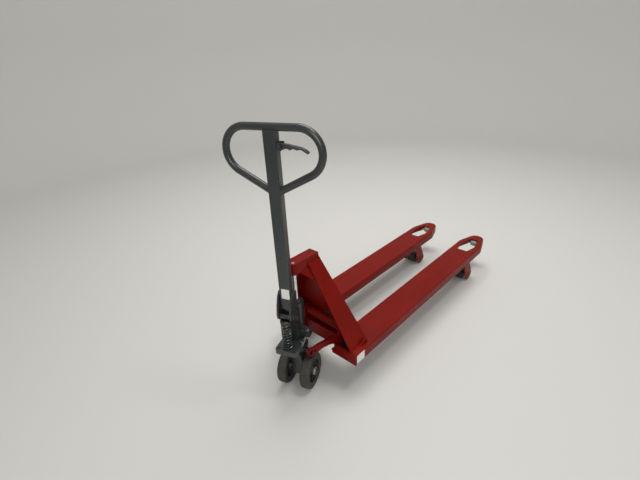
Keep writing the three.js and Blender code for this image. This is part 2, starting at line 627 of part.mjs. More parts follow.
// ---------- drawbar ----------
function handleBracket() {
  const shape = roundedShape([
    [-84, 400], [-58, 400], [-54, 424], [-54, 545], [-84, 548], [-99, 530], [-112, 490], [-118, 458],
    [-118, 432], [-108, 418], [-96, 412]], 5);
  const left = profileX(shape, -CHEEK_OUTER_U, -CHEEK_INNER_U, 4);
  const right = profileX(shape, CHEEK_INNER_U, CHEEK_OUTER_U, 4);
  const stemBack = STEM_V + STEM_DEPTH / 2;
  const webHalf = CHEEK_INNER_U + 1;
  const web = block(-webHalf, webHalf, stemBack + GAP, stemBack + 5, STEM_BOTTOM + 8, 545);
  const pinBore = cylinderX(HANDLE_PIN_RADIUS + GAP, -40, 40, HANDLE_PIVOT_V, HANDLE_PIVOT_Z);
  const presserBore = cylinderX(PRESSER_PIN_RADIUS + GAP, -40, 40, PRESSER_V, PRESSER_Z, 16);
  return cut(join(left, right, web), pinBore, presserBore);
}

function stem() {
  const halfW = STEM_WIDTH / 2;
  const halfD = STEM_DEPTH / 2;
  const outline = (inset, radius) => roundedShape([
    [-halfW + inset, STEM_V - halfD + inset], [halfW - inset, STEM_V - halfD + inset],
    [halfW - inset, STEM_V + halfD - inset], [-halfW + inset, STEM_V + halfD - inset]], radius);
  const top = LOOP_TOP - LOOP_TUBE - GAP;
  return cut(profileZ(outline(0, 6), STEM_BOTTOM, top, 5),
    profileZ(outline(3, 4), STEM_BOTTOM - 1, top - 3, 4));
}

function loop() {
  const arcEnd = -Math.PI / 2 + LOOP_LEG_ANGLE;
  const arcCentreZ = LOOP_TOP - LOOP_ARC;
  const tangent = [LOOP_ARC_U + LOOP_ARC * Math.cos(arcEnd), arcCentreZ + LOOP_ARC * Math.sin(arcEnd)];
  const spot = (u, z) => new THREE.Vector3(u, STEM_V, z);
  const path = new THREE.CurvePath();
  const arcCurve = (side, from, to) => {
    const steps = 6;
    const points = Array.from({ length: steps + 1 }, (_, i) => {
      const angle = from + ((to - from) * i) / steps;
      return spot(side * (LOOP_ARC_U + LOOP_ARC * Math.cos(angle)),
        arcCentreZ + LOOP_ARC * Math.sin(angle));
    });
    points.slice(1).forEach((point, i) => path.add(new THREE.LineCurve3(points[i], point)));
  };
  path.add(new THREE.LineCurve3(spot(STEM_WIDTH / 2 - 4, LOOP_JOIN_Z), spot(...tangent)));
  arcCurve(1, arcEnd, Math.PI / 2);
  path.add(new THREE.LineCurve3(spot(LOOP_ARC_U, LOOP_TOP), spot(-LOOP_ARC_U, LOOP_TOP)));
  arcCurve(-1, Math.PI / 2, arcEnd);
  path.add(new THREE.LineCurve3(spot(-tangent[0], tangent[1]), spot(-STEM_WIDTH / 2 + 4, LOOP_JOIN_Z)));
  const section = new THREE.Shape();
  section.absarc(0, 0, LOOP_TUBE, 0, 2 * Math.PI, false);
  const tube = new THREE.ExtrudeGeometry(section, {
    extrudePath: path, steps: 64, curveSegments: 6, bevelEnabled: false });
  const stemRoom = block(-STEM_WIDTH / 2 - GAP, STEM_WIDTH / 2 + GAP, STEM_V - 30, STEM_V + 30, 900, 1150);
  return cut(tube, stemRoom);
}

function trigger() {
  const outline = new THREE.Shape();
  outline.moveTo(31, 1134);
  outline.lineTo(44, 1127);
  outline.quadraticCurveTo(57, 1137, 70, 1127);
  outline.quadraticCurveTo(83, 1137, 96, 1127.5);
  outline.quadraticCurveTo(108, 1135, 119, 1125.5);
  outline.quadraticCurveTo(128, 1121, 133.5, 1117.5);
  outline.quadraticCurveTo(140, 1119, 138, 1123.5);
  outline.quadraticCurveTo(128, 1134, 107, 1139.6);
  outline.quadraticCurveTo(92, 1142.5, 78, 1144.5);
  outline.quadraticCurveTo(56, 1150, 38, 1149.5);
  outline.quadraticCurveTo(31, 1149.5, 31, 1143);
  outline.closePath();
  const blank = profileY(outline, STEM_V - 9, STEM_V + 9, 5);
  const bore = cylinderZ(TRIGGER_PIN_RADIUS + GAP, -20, 20, 0, 0, 12).rotateX(Math.PI / 2)
    .translate(TRIGGER_PIVOT_U, STEM_V, TRIGGER_PIVOT_Z);
  return cut(blank, bore);
}

function triggerBracket() {
  const channel = block(24.3, 42, STEM_V - 15, STEM_V + 15, 1126, 1154);
  const room = block(27, 43, STEM_V - 10, STEM_V + 10, 1125, 1155);
  const bore = cylinderZ(TRIGGER_PIN_RADIUS + GAP, -40, 40, 0, 0, 12).rotateX(Math.PI / 2)
    .translate(TRIGGER_PIVOT_U, STEM_V, TRIGGER_PIVOT_Z);
  return cut(channel, room, bore);
}

function addDrawbar(steering) {
  piece(steering, 'handle_bracket', handleBracket(), GREY);
  piece(steering, 'drawbar_stem', stem(), GREY);
  piece(steering, 'handle_loop', loop(), GREY);
  piece(steering, 'presser_pin', cylinderX(PRESSER_PIN_RADIUS, -36, 36, PRESSER_V, PRESSER_Z, 16), STEEL);
  const presserBore = PRESSER_PIN_RADIUS + GAP;
  const presser = [[presserBore, -22], [PRESSER_RADIUS, -22], [PRESSER_RADIUS, 22], [presserBore, 22]];
  piece(steering, 'presser_roller', ringX(presser, PRESSER_V, PRESSER_Z, 24), HUB);
  piece(steering, 'trigger_bracket', triggerBracket(), GREY);
  piece(steering, 'trigger_pin', cylinderZ(TRIGGER_PIN_RADIUS, -17, 17, 0, 0, 12).rotateX(Math.PI / 2)
    .translate(TRIGGER_PIVOT_U, STEM_V, TRIGGER_PIVOT_Z), STEEL);
  piece(steering, 'release_rod', cylinderZ(3, STEM_BOTTOM + 12, 1120, 0, STEM_V, 12), STEEL);
  piece(steering, 'trigger_lever', trigger(), HUB);
}

// ---------- assembly ----------
const jack = new THREE.Group();
addForks(jack);
addFrame(jack);
addRocker(jack);
addTieRods(jack);
addLoadRollers(jack);
addThrustBlock(jack);

const steering = new THREE.Group();
steering.position.y = STEER_Y;
steering.rotation.z = STEER_ANGLE;
jack.add(steering);
addPump(steering);
addPlunger(steering);
addWheels(steering);
addDrawbar(steering);

// The origin is on the floor under the middle of the jack's bounding box.
jack.updateMatrixWorld(true);
const bounds = new THREE.Box3().setFromObject(jack, true);
jack.position.set(-(bounds.min.x + bounds.max.x) / 2, -(bounds.min.y + bounds.max.y) / 2, -bounds.min.z);

export default jack;
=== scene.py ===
"""Looks of the hand pallet jack: paint, metal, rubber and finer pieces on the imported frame."""
import json
import math

import bmesh
import bpy
from mathutils import Matrix, Vector


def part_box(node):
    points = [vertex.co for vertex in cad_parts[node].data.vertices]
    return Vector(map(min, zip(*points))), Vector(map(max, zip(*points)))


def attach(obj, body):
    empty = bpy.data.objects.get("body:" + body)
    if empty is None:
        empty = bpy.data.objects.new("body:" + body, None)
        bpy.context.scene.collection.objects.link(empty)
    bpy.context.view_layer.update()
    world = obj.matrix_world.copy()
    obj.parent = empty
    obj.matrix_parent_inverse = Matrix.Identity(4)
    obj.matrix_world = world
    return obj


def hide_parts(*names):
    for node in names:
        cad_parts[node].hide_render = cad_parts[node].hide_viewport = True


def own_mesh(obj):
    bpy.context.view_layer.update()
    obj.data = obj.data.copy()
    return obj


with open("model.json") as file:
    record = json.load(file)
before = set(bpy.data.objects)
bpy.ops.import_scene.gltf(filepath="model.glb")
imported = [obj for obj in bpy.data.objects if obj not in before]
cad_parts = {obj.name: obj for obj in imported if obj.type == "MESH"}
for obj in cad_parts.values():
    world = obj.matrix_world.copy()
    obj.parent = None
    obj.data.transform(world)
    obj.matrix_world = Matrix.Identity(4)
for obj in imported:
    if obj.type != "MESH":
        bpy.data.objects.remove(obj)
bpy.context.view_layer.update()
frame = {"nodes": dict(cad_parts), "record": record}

NODES = frame["nodes"]
SIDES = (("left", -1), ("right", 1))

# ---------- places: millimetres with y from the forks' heel, as in the CAD ----------
GAP = 0.0003                                            # metres between the heel plate and the fork
HEEL_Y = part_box("heel_plate_left")[1].y + GAP
MODEL = Matrix.Translation((0, HEEL_Y, 0)) @ Matrix.Scale(0.001, 4)
STEER_Y, STEER_ANGLE = -105, math.radians(21)
STEER = MODEL @ Matrix.Translation((0, STEER_Y, 0)) @ Matrix.Rotation(STEER_ANGLE, 4, "Z")
FORK_X = 175
BRACKET_Y, BRACKET_Z = 1140, 160
ROLLER_Y, ROLLER_Z = 1196, 40

# places on the steered part, with v from the steering axis
WHEEL_R, WHEEL_U, WHEEL_V = 85, 56.5, -22
STEM_V = -77
PLUNGER_V = -107
DECK_Z = 280
PIVOT_V, PIVOT_Z = -71, 416
PRESSER_V, PRESSER_Z = -103.4, 439.5
LEVER_U, LEVER_Z = 33, 1140

# local frames whose Z looks along another axis
ALONG_X = Matrix(((0, 0, 1, 0), (1, 0, 0, 0), (0, 1, 0, 0), (0, 0, 0, 1)))     # drawn in (y, z)
ALONG_Y = Matrix(((1, 0, 0, 0), (0, 0, -1, 0), (0, 1, 0, 0), (0, 0, 0, 1)))    # drawn in (x, z)
FLAT = Matrix.Identity(4)                                                      # drawn in (x, y)


def at(x, y, z):
    return Matrix.Translation((x, y, z))


# ---------- node materials ----------
class Nodes:
    """A material's node tree with short calls; a socket given as a value is linked."""

    def __init__(self, name):
        self.material = bpy.data.materials.new(name)
        self.material.use_nodes = True
        self.tree = self.material.node_tree
        self.bsdf = self.tree.nodes["Principled BSDF"]
        self.place = self.add("TexCoord").outputs["Object"]

    def add(self, kind, props=None, **values):
        node = self.tree.nodes.new("ShaderNode" + kind)
        for key, value in (props or {}).items():
            setattr(node, key, value)
        for key, value in values.items():
            self.put(node.inputs[key.replace("_", " ")], value)
        return node

    def put(self, socket, value):
        if isinstance(value, bpy.types.NodeSocket):
            self.tree.links.new(value, socket)
        else:
            socket.default_value = value

    def noise(self, scale, detail=3.0, stretch=None, rough=0.55):
        where = self.place
        if stretch:
            where = self.add("Mapping", Vector=where, Scale=stretch).outputs["Vector"]
        return self.add("TexNoise", Vector=where, Scale=scale, Detail=detail, Roughness=rough).outputs["Fac"]

    def span(self, value, low, high, to_low=0.0, to_high=1.0):
        node = self.add("MapRange", {"clamp": True})
        for socket, number in zip(node.inputs, (value, low, high, to_low, to_high)):
            self.put(socket, number)
        return node.outputs["Result"]

    def math(self, operation, a, b=0.0):
        node = self.add("Math", {"operation": operation})
        self.put(node.inputs[0], a)
        self.put(node.inputs[1], b)
        return node.outputs["Value"]

    def mix(self, factor, a, b):
        node = self.add("Mix", {"data_type": "RGBA"})
        for index, value in ((0, factor), (6, a), (7, b)):
            self.put(node.inputs[index], value)
        return node.outputs[2]

    def bump(self, height, strength, distance, normal=None):
        node = self.add("Bump", Height=height, Strength=strength, Distance=distance)
        if normal:
            self.put(node.inputs["Normal"], normal)
        return node.outputs["Normal"]

    def edges(self, radius):
        """1 on edges rounder than the face they bound, 0 on flat faces."""
        soft = self.add("Bevel", {"samples": 4}, Radius=radius).outputs["Normal"]
        flat = self.add("NewGeometry").outputs["Normal"]
        dot = self.add("VectorMath", {"operation": "DOT_PRODUCT"})
        self.put(dot.inputs[0], soft)
        self.put(dot.inputs[1], flat)
        return self.math("SUBTRACT", 1.0, dot.outputs["Value"])

    def up(self):
        """1 where the surface looks up, 0 where it doesn't."""
        normal = self.add("NewGeometry").outputs["Normal"]
        height = self.add("SeparateXYZ", Vector=normal).outputs["Z"]
        return self.span(height, 0.3, 0.95)

    def finish(self, color, roughness, metallic=0.0, normal=None, **uniform):
        self.put(self.bsdf.inputs["Base Color"], color)
        self.put(self.bsdf.inputs["Roughness"], roughness)
        self.bsdf.inputs["Metallic"].default_value = metallic
        if normal:
            self.put(self.bsdf.inputs["Normal"], normal)
        for key, value in uniform.items():
            self.bsdf.inputs[key.replace("_", " ")].default_value = value
        return self.material


def rgb(r, g, b):
    return (r, g, b, 1.0)


def painted(name, deep, bright, worn, rough, peel, dust, **uniform):
    n = Nodes(name)
    cloud = n.span(n.noise(7.0, 4.0), 0.3, 0.7)
    color = n.mix(cloud, deep, bright)
    mottle = n.span(n.noise(60.0, 2.0), 0.35, 0.75, 0.0, 0.10)
    color = n.mix(mottle, color, n.mix(0.5, deep, rgb(0.02, 0.008, 0.006)))
    film = n.math("MULTIPLY", n.up(), n.span(n.noise(16.0, 5.0), 0.35, 0.8, dust * 0.35, dust))
    color = n.mix(film, color, rgb(0.30, 0.27, 0.24))
    chips = n.span(n.noise(130.0, 4.0), 0.56, 0.64)
    rim = n.span(n.edges(0.0018), 0.03, 0.16)
    wear = n.math("MULTIPLY", chips, rim)
    color = n.mix(wear, color, worn)
    streak = n.span(n.noise(4.0, 3.0, (70.0, 3.0, 70.0)), 0.66, 0.72)
    streak = n.math("MULTIPLY", streak, n.math("MULTIPLY", n.up(), 0.22))
    color = n.mix(streak, color, worn)
    gloss = n.span(n.noise(35.0, 4.0), 0.2, 0.8, rough - 0.06, rough + 0.08)
    gloss = n.math("ADD", gloss, n.math("MULTIPLY", film, 0.5))
    skin = n.bump(n.noise(420.0, 1.0), peel, 0.0006)
    skin = n.bump(n.noise(38.0, 2.0), peel * 0.5, 0.002, skin)
    return n.finish(color, gloss, 0.0, skin, **uniform)


def metal(name, dark, bright, rough, grime, brushed=None):
    n = Nodes(name)
    color = n.mix(n.span(n.noise(22.0, 4.0), 0.3, 0.7), dark, bright)
    dirt = n.span(n.noise(55.0, 5.0), 0.5, 0.75, 0.0, grime)
    color = n.mix(dirt, color, rgb(0.05, 0.042, 0.036))
    grain = n.noise(1.0, 2.0, brushed or (900.0, 900.0, 900.0))
    gloss = n.span(grain, 0.3, 0.7, rough - 0.04, rough + 0.06)
    gloss = n.math("ADD", gloss, n.math("MULTIPLY", dirt, 0.35))
    return n.finish(color, gloss, 1.0, n.bump(grain, 0.12, 0.0002))


def moulded(name, dark, bright, rough, dust, pores=0.25, scale=500.0):
    n = Nodes(name)
    color = n.mix(n.span(n.noise(12.0, 4.0), 0.3, 0.7), dark, bright)
    film = n.span(n.noise(30.0, 5.0), 0.4, 0.8, 0.0, dust)
    color = n.mix(film, color, rgb(0.30, 0.28, 0.25))
    gloss = n.span(n.noise(45.0, 3.0), 0.25, 0.75, rough - 0.07, rough + 0.08)
    skin = n.bump(n.noise(scale, 2.0), pores, 0.0005)
    return n.finish(color, gloss, 0.0, skin)


def sticker(name):
    n = Nodes(name)
    color = n.mix(n.span(n.noise(40.0, 4.0), 0.3, 0.7), rgb(0.80, 0.78, 0.71), rgb(0.90, 0.89, 0.83))
    smudge = n.span(n.noise(110.0, 5.0), 0.55, 0.8, 0.0, 0.5)
    color = n.mix(smudge, color, rgb(0.30, 0.28, 0.24))
    gloss = n.span(n.noise(60.0), 0.3, 0.7, 0.35, 0.5)
    return n.finish(color, gloss, 0.0, n.bump(n.noise(90.0), 0.15, 0.0004))


LOOKS = {
    "red_paint": painted("red_paint", rgb(0.165, 0.0040, 0.0018), rgb(0.212, 0.0058, 0.0026),
                         rgb(0.09, 0.06, 0.05), 0.36, 0.10, 0.01, Specular_IOR_Level=0.12),
    "grey_paint": painted("grey_paint", rgb(0.023, 0.028, 0.028), rgb(0.032, 0.038, 0.038),
                          rgb(0.11, 0.105, 0.10), 0.30, 0.035, 0.03, Coat_Weight=0.25, Coat_Roughness=0.14),
    "steel": metal("steel", rgb(0.30, 0.30, 0.29), rgb(0.46, 0.46, 0.45), 0.34, 0.5),
    "greased_steel": metal("greased_steel", rgb(0.06, 0.055, 0.05), rgb(0.13, 0.125, 0.12), 0.36, 0.5),
    "chrome": metal("chrome", rgb(0.70, 0.71, 0.72), rgb(0.80, 0.81, 0.82), 0.10, 0.15, (40.0, 40.0, 3.0)),
    "spring_steel": metal("spring_steel", rgb(0.07, 0.074, 0.075), rgb(0.16, 0.165, 0.165), 0.24, 0.4),
    "tyre": moulded("tyre", rgb(0.026, 0.025, 0.021), rgb(0.040, 0.038, 0.032), 0.60, 0.10, 0.35, 700.0),
    # Near-black moulded finish: the wheel hubs' own colour, and also painted shade on the heel plates, the
    # lever slot patch and the trigger bracket.
    "hub": moulded("hub", rgb(0.018, 0.018, 0.019), rgb(0.034, 0.034, 0.035), 0.40, 0.12),
    "roller_tread": moulded("roller_tread", rgb(0.010, 0.010, 0.010), rgb(0.020, 0.019, 0.018), 0.40, 0.1),
    "nylon": moulded("nylon", rgb(0.20, 0.21, 0.19), rgb(0.30, 0.31, 0.28), 0.48, 0.25),
    "lever": moulded("lever", rgb(0.035, 0.04, 0.04), rgb(0.05, 0.056, 0.056), 0.38, 0.1),
    "label": sticker("label"),
}
SLOT_OF = {entry["node"]: entry["material_slot"] for entry in frame["record"]["subparts"]}


# ---------- mesh tools ----------
HARD_EDGE = math.radians(32)
MERGE = 0.00002                   # metres: corners of a CAD mesh closer than this are one


def smooth_group():
    """Shades smooth, but keeps edges sharper than HARD_EDGE hard."""
    group = bpy.data.node_groups.new("smooth_by_angle", "GeometryNodeTree")
    group.interface.new_socket("Geometry", in_out="INPUT", socket_type="NodeSocketGeometry")
    group.interface.new_socket("Geometry", in_out="OUTPUT", socket_type="NodeSocketGeometry")
    start = group.nodes.new("NodeGroupInput")
    bare = group.nodes.new("GeometryNodeRemoveAttribute")
    bare.inputs["Name"].default_value = "custom_normal"
    faces = group.nodes.new("GeometryNodeSetShadeSmooth")
    edges = group.nodes.new("GeometryNodeSetShadeSmooth")
    edges.domain = "EDGE"
    edges.inputs["Shade Smooth"].default_value = False
    angle = group.nodes.new("GeometryNodeInputMeshEdgeAngle")
    sharp = group.nodes.new("FunctionNodeCompare")
    sharp.inputs[1].default_value = HARD_EDGE
    end = group.nodes.new("NodeGroupOutput")
    link = group.links.new
    link(start.outputs[0], bare.inputs["Geometry"])
    link(bare.outputs[0], faces.inputs["Geometry"])
    link(faces.outputs[0], edges.inputs["Geometry"])
    link(angle.outputs["Unsigned Angle"], sharp.inputs[0])
    link(sharp.outputs[0], edges.inputs["Selection"])
    link(edges.outputs[0], end.inputs[0])
    return group


SMOOTH = smooth_group()


def round_off(obj, bevel, segments=2, angle=30):
    """Rounded edges and clean shading as modifiers; the mesh itself stays as it is."""
    if bevel:
        weld = obj.modifiers.new("weld", "WELD")
        weld.merge_threshold = MERGE
        flat = obj.modifiers.new("flat", "DECIMATE")
        flat.decimate_type = "DISSOLVE"
        flat.angle_limit = math.radians(1)
        edge = obj.modifiers.new("edge", "BEVEL")
        edge.width = bevel / 1000
        edge.segments = segments
        edge.limit_method = "ANGLE"
        edge.angle_limit = math.radians(angle)
        edge.use_clamp_overlap = True
        edge.harden_normals = False
    shade = obj.modifiers.new("shade", "NODES")
    shade.node_group = SMOOTH
    even = obj.modifiers.new("even", "WEIGHTED_NORMAL")
    even.keep_sharp = True


def paint_on(obj, look):
    obj.data.materials.append(LOOKS[look])


def piece(name, mesh, body, look, stands_for=(), bevel=0.0, place=MODEL):
    """A new visible piece: its mesh is drawn in millimetres and set down by place."""
    if isinstance(mesh, bmesh.types.BMesh):
        source, mesh = mesh, bpy.data.meshes.new(name)
        source.to_mesh(mesh)
        source.free()
    mesh.transform(place)
    if place.to_3x3().determinant() < 0:
        mesh.flip_normals()
    obj = bpy.data.objects.new(name, mesh)
    bpy.context.scene.collection.objects.link(obj)
    mesh.materials.clear()
    paint_on(obj, look)
    round_off(obj, bevel)
    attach(obj, body)
    if stands_for:
        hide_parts(*([stands_for] if isinstance(stands_for, str) else stands_for))
    return obj


def tidy(bm):
    bmesh.ops.remove_doubles(bm, verts=bm.verts, dist=0.001)
    bmesh.ops.recalc_face_normals(bm, faces=bm.faces)
    return bm


def lathe(profile, segments=64):
    """Closed profile of (radius, height) turned about Z. Radius 0 makes a pole."""
    bm = bmesh.new()
    turns = [2 * math.pi * i / segments for i in range(segments)]
    rings = [[bm.verts.new((r * math.cos(a), r * math.sin(a), h)) for r, h in profile] for a in turns]
    count = len(profile)
    for i, ring in enumerate(rings):
        other = rings[(i + 1) % segments]
        for j in range(count):
            k = (j + 1) % count
            if profile[j][0] or profile[k][0]:
                bm.faces.new((ring[j], ring[k], other[k], other[j]))
    return tidy(bm)


def softened(profile, radius, steps=3):
    """The same closed profile with its corners rounded."""
    out = []
    for i, corner in enumerate(profile):
        here = Vector(corner)
        before = Vector(profile[i - 1]) - here
        after = Vector(profile[(i + 1) % len(profile)]) - here
        reach = min(radius, before.length * 0.45, after.length * 0.45)
        if here.x < 0.01 or reach < 0.05:
            out.append(tuple(here))
            continue
        a = here + before.normalized() * reach
        b = here + after.normalized() * reach
        for s in range(steps + 1):
            t = s / steps
            out.append(tuple(a * (1 - t) ** 2 + here * 2 * t * (1 - t) + b * t * t))
    return out


def plate(loops, z0, z1, rounding=1.0, steps=2):
    """Solid between z0 and z1 from closed outlines; outlines inside others are holes. Edges are rounded."""
    curve = bpy.data.curves.new("outline", "CURVE")
    curve.dimensions = "2D"
    curve.fill_mode = "BOTH"
    curve.extrude = (z1 - z0) / 2 - rounding
    curve.bevel_depth = rounding
    curve.bevel_resolution = steps
    curve.offset = -rounding
    for loop in loops:
        spline = curve.splines.new("POLY")
        spline.points.add(len(loop) - 1)
        for point, (x, y) in zip(spline.points, loop):
            point.co = (x, y, 0, 1)
        spline.use_cyclic_u = True
    return curve_mesh(curve, at(0, 0, (z0 + z1) / 2))


def curve_mesh(curve, place=FLAT):
    holder = bpy.data.objects.new("holder", curve)
    bpy.context.scene.collection.objects.link(holder)
    bpy.context.view_layer.update()
    solved = holder.evaluated_get(bpy.context.evaluated_depsgraph_get())
    bm = bmesh.new()
    bm.from_mesh(solved.to_mesh())
    bpy.data.objects.remove(holder)
    bpy.data.curves.remove(curve)
    bm.transform(place)
    return tidy(bm)


def tube(points, radius, closed=False, sides=3, radii=None):
    """Round bar along points. radii scale it point by point."""
    curve = bpy.data.curves.new("path", "CURVE")
    curve.dimensions = "3D"
    curve.bevel_depth = radius
    curve.bevel_resolution = sides
    curve.use_fill_caps = True
    spline = curve.splines.new("POLY")
    spline.points.add(len(points) - 1)
    for i, point in enumerate(points):
        spline.points[i].co = (*point, 1)
        spline.points[i].radius = radii[i] if radii else 1.0
    spline.use_cyclic_u = closed
    return curve_mesh(curve)


def rounded(corners, radius, steps=5):
    """Outline through corners with each corner rounded."""
    out = []
    for i, corner in enumerate(corners):
        here = Vector(corner)
        before = Vector(corners[i - 1]) - here
        after = Vector(corners[(i + 1) % len(corners)]) - here
        a = here + before.normalized() * radius
        b = here + after.normalized() * radius
        for s in range(steps + 1):
            t = s / steps
            out.append(tuple(a * (1 - t) ** 2 + here * 2 * t * (1 - t) + b * t * t))
    return out


def circle(x, y, radius, steps=32):
    return [(x + radius * math.cos(2 * math.pi * i / steps), y + radius * math.sin(2 * math.pi * i / steps))
            for i in range(steps)]


def merged(*meshes):
    """Several bmeshes as one."""
    total = bmesh.new()
    for bm in meshes:
        part = bpy.data.meshes.new("part")
        bm.to_mesh(part)
        bm.free()
        total.from_mesh(part)
        bpy.data.meshes.remove(part)
    return total


def placed(bm, matrix):
    bm.transform(matrix)
    if matrix.to_3x3().determinant() < 0:
        bmesh.ops.reverse_faces(bm, faces=bm.faces)
    return bm


def bolt(radius, height, washer=1.5):
    """Hexagon head on a washer, standing on z = 0."""
    head = lathe([(0, 0), (radius, 0), (radius, height * 0.8), (radius * 0.86, height), (0, height)], 6)
    rim = radius * 1.35
    ring = lathe(softened([(0, -0.4), (rim, -0.4), (rim, washer), (0, washer)], 0.4, 1), 28)
    return merged(placed(head, at(0, 0, washer)), ring)


def bead(points, radius, pitch=3.2):
    """Weld bead with ripples along a line through points."""
    line, radii = [], []
    for a, b in zip(points, points[1:]):
        a, b = Vector(a), Vector(b)
        count = max(2, int((b - a).length / (pitch / 2)))
        for i in range(count):
            step = len(line)
            line.append(a.lerp(b, i / count))
            unevenness = 0.07 * math.sin(step * 1.7) + 0.05 * math.sin(step * 0.41)
            radii.append(0.82 + 0.2 * (step % 2) + unevenness)
    line.append(Vector(points[-1]))
    radii.append(0.6)
    radii[0] = 0.6
    return tube(line, radius, sides=1, radii=radii)


# ---------- CAD nodes that stay: rounded edges and paint ----------
BEVELS = {
    "fork": 1.6, "heel_plate": 1.6, "leg_flange": 1.4, "bulkhead": 1.2, "ram_head_box": 2.6,
    "apex_gusset": 1.0, "heel_cross_bar": 1.4, "heel_gusset": 1.0, "lifting_arm": 3.4,
    "rocker_crank": 1.5, "tie_rod": 1.0, "roller_bracket": 1.2, "axle_carrier": 3.0,
    "pump_body": 2.0, "handle_bracket": 1.0, "release_lever": 1.5, "trunnion_block": 1.0,
    "trigger_bracket": 0.6, "entry_axle": 0.6, "load_roller_axle": 1.0, "handle_pivot_pin": 1.0,
    "presser_pin": 0.8, "wheel_axle": 1.2, "valve_screw": 0.5, "ram_gland_nut": 0.6,
    "steer_bearing": 0.5,
}
GREASED = ("trunnion_block", "thrust_bearing", "tie_rod_left", "tie_rod_right", "load_roller_axle_left",
           "load_roller_axle_right", "presser_roller", "trigger_pin", "handle_pivot_pin", "presser_pin")
# The trigger bracket gets the near-black hub finish: painted shade for the dark recess round the lever near
# the top of the stem.
LOOK_OF = {**SLOT_OF, **dict.fromkeys(GREASED, "greased_steel"), "trigger_bracket": "hub"}
for name, obj in NODES.items():
    if not obj.data.materials:
        obj.data.materials.append(None)
    for material_slot in obj.material_slots:
        material_slot.link = "OBJECT"
        material_slot.material = LOOKS[LOOK_OF[name]]
    kind = name.removesuffix("_left").removesuffix("_right")
    round_off(obj, BEVELS.get(kind, 0.0))


def prism(outline, z0, z1):
    """Sharp-edged solid over an outline, for cutting."""
    bm = bmesh.new()
    low = [bm.verts.new((x, y, z0)) for x, y in outline]
    high = [bm.verts.new((x, y, z1)) for x, y in outline]
    bm.faces.new(low)
    bm.faces.new(high)
    for i in range(len(outline)):
        k = (i + 1) % len(outline)
        bm.faces.new((low[i], low[k], high[k], high[i]))
    return tidy(bm)


def cut_out(bm, *cutters):
    """The mesh less each cutter."""
    def holder(source, label):
        mesh = bpy.data.meshes.new(label)
        source.to_mesh(mesh)
        source.free()
        obj = bpy.data.objects.new(label, mesh)
        bpy.context.scene.collection.objects.link(obj)
        return obj

    body = holder(bm, "blank")
    tools = [holder(cutter, f"cutter_{i}") for i, cutter in enumerate(cutters)]
    for tool in tools:
        cut = body.modifiers.new("cut", "BOOLEAN")
        cut.operation = "DIFFERENCE"
        cut.solver = "EXACT"
        cut.object = tool
    bpy.context.view_layer.update()
    solved = body.evaluated_get(bpy.context.evaluated_depsgraph_get())
    result = bmesh.new()
    result.from_mesh(solved.to_mesh())
    for obj in [body, *tools]:
        mesh = obj.data
        bpy.data.objects.remove(obj)
        bpy.data.meshes.remove(mesh)
    return result


# ---------- forks ----------
FORK_HALF, FORK_TOP = 75, 206
CUT_LOW, CUT_HIGH = 196, 210      # cutters reach past both faces of the top plate
ARM_WINDOW = 52                   # the lifting arm passes outside this, from the fork's middle
TAPER_Y, NOSE_Y, NOSE_R, NOSE_TURN = 1310, 1397, 47, math.radians(17)
RIM = ((0.8, 156), (0, 157), (0, 199.5), (0.5, 202), (1.9, 204), (3.9, 205.4), (6.5, 206), (9, 206),
       (9, 201), (7, 201), (5.5, 200), (5, 198.5), (5, 157), (4.2, 156))
RIM_JOINT = 7                     # the rim's face towards the top plate


def fork_path():
    """Fork outline from the heel round the tip and back: (x, y, outward normal)."""
    stations = [0, 5, 60, 112, 122] + [221 + 98 * i for i in range(11)] + [1298]
    line = [(FORK_HALF, y, 1.0, 0.0) for y in stations]
    nx, ny = math.cos(NOSE_TURN), math.sin(NOSE_TURN)
    reach_x, reach_y = NOSE_R * nx - FORK_HALF, NOSE_Y + NOSE_R * ny - TAPER_Y
    line += [(FORK_HALF - 0.4, TAPER_Y - 4, math.cos(NOSE_TURN / 3), math.sin(NOSE_TURN / 3)),
             (FORK_HALF - 1.4, TAPER_Y + 5, math.cos(NOSE_TURN * 2 / 3), math.sin(NOSE_TURN * 2 / 3))]
    line += [(FORK_HALF + reach_x * t, TAPER_Y + reach_y * t, nx, ny) for t in (0.15, 0.4, 0.7, 0.92)]
    for i in range(14):
        turn = NOSE_TURN + (math.pi / 2 - NOSE_TURN) * i / 14
        c, s = math.cos(turn), math.sin(turn)
        line.append((NOSE_R * c, NOSE_Y + NOSE_R * s, c, s))
    return line + [(0.0, NOSE_Y + NOSE_R, 0.0, 1.0)] + [(-x, y, -nx, ny) for x, y, nx, ny in reversed(line)]


